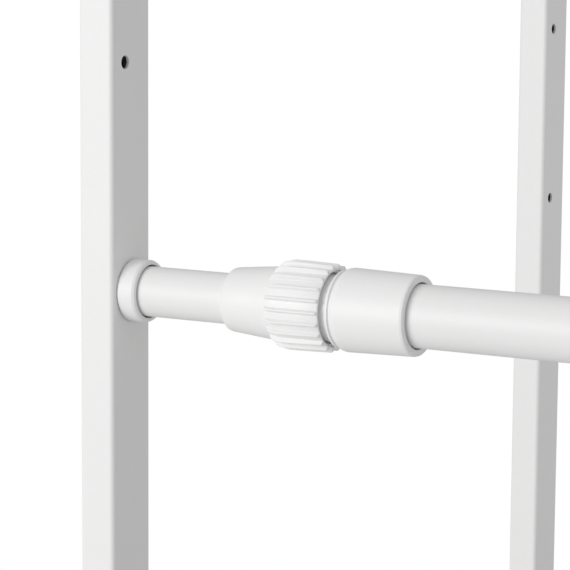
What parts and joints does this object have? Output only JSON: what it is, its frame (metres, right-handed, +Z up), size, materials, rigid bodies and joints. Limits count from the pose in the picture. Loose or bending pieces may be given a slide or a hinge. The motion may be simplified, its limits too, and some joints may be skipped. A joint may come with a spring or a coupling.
{
  "type": "telescopic garment rail",
  "caption": "Free-standing clothes rail: two ladder side frames of rectangular tube joined by telescopic rails with ribbed twist-lock nuts.",
  "frame": {"origin": "on the floor, midway between the side frames at rest and midway between the axes of the hanging rail and the tie rail", "axes": "+X along the rails, from the thin tube's side frame to the thick tube's; +Y from the front posts, which carry the hanging rail, to the rear posts; +Z up"},
  "size_m": [0.8956, 0.4964, 1.7],
  "materials": {
    "frame_paint": "white powder coat, satin, fine orange peel",
    "tube_paint": "white powder coat, semi-gloss",
    "end_plug_plastic": "moulded white polyethylene",
    "socket_plastic": "moulded white polypropylene",
    "nut_plastic": "moulded white ABS, satin",
    "collar_plastic": "moulded white ABS, satin",
    "nylon": "natural nylon",
    "zinc": "bright zinc plate"
  },
  "bodies": {
    "left_frame": {"left_front_post": "frame_paint", "left_rear_post": "frame_paint", "left_top_rung": "frame_paint", "left_mid_rung": "frame_paint", "left_low_rung": "frame_paint", "left_front_cap": "end_plug_plastic", "left_rear_cap": "end_plug_plastic", "left_front_foot": "end_plug_plastic", "left_rear_foot": "end_plug_plastic", "hanging_left_socket": "socket_plastic", "hanging_left_screw": "zinc", "hanging_left_nut": "zinc", "hanging_inner_tube": "tube_paint", "hanging_inner_plug": "end_plug_plastic", "hanging_guide_bush": "nylon", "tie_left_socket": "socket_plastic", "tie_left_screw": "zinc", "tie_left_nut": "zinc", "tie_inner_tube": "tube_paint", "tie_inner_plug": "end_plug_plastic", "tie_guide_bush": "nylon"},
    "right_frame": {"right_front_post": "frame_paint", "right_rear_post": "frame_paint", "right_top_rung": "frame_paint", "right_mid_rung": "frame_paint", "right_low_rung": "frame_paint", "right_front_cap": "end_plug_plastic", "right_rear_cap": "end_plug_plastic", "right_front_foot": "end_plug_plastic", "right_rear_foot": "end_plug_plastic", "hanging_collar": "collar_plastic", "hanging_outer_tube": "tube_paint", "hanging_right_socket": "socket_plastic", "hanging_right_screw": "zinc", "hanging_right_nut": "zinc", "tie_collar": "collar_plastic", "tie_outer_tube": "tube_paint", "tie_right_socket": "socket_plastic", "tie_right_screw": "zinc", "tie_right_nut": "zinc"},
    "hanging_clamp": {"hanging_clamp_ring": "nylon"},
    "hanging_nut": {"hanging_lock_nut": "nut_plastic"},
    "tie_clamp": {"tie_clamp_ring": "nylon"},
    "tie_nut": {"tie_lock_nut": "nut_plastic"}
  },
  "joints": [
    {"name": "width_slide", "type": "slide", "parent": "left_frame", "child": "right_frame", "axis": [1, 0, 0], "range_m": [-0.03, 0.55]},
    {"name": "hanging_clamp_slide", "type": "slide", "parent": "right_frame", "child": "hanging_clamp", "axis": [-1, 0, 0], "range_m": [0, 0.0026]},
    {"name": "hanging_nut_turn", "type": "hinge", "parent": "hanging_clamp", "child": "hanging_nut", "pos_m": [-0.34, -0.229, 1.54], "axis": [-1, 0, 0], "range_deg": [0, 360]},
    {"name": "tie_clamp_slide", "type": "slide", "parent": "right_frame", "child": "tie_clamp", "axis": [-1, 0, 0], "range_m": [0, 0.0026]},
    {"name": "tie_nut_turn", "type": "hinge", "parent": "tie_clamp", "child": "tie_nut", "pos_m": [-0.34, 0.229, 0.23], "axis": [-1, 0, 0], "range_deg": [0, 360]}
  ],
  "couplings": [
    {"joint": "hanging_clamp_slide", "follows": "hanging_nut_turn", "m_per_rad": 0.00039789},
    {"joint": "tie_clamp_slide", "follows": "tie_nut_turn", "m_per_rad": 0.00039789}
  ]
}
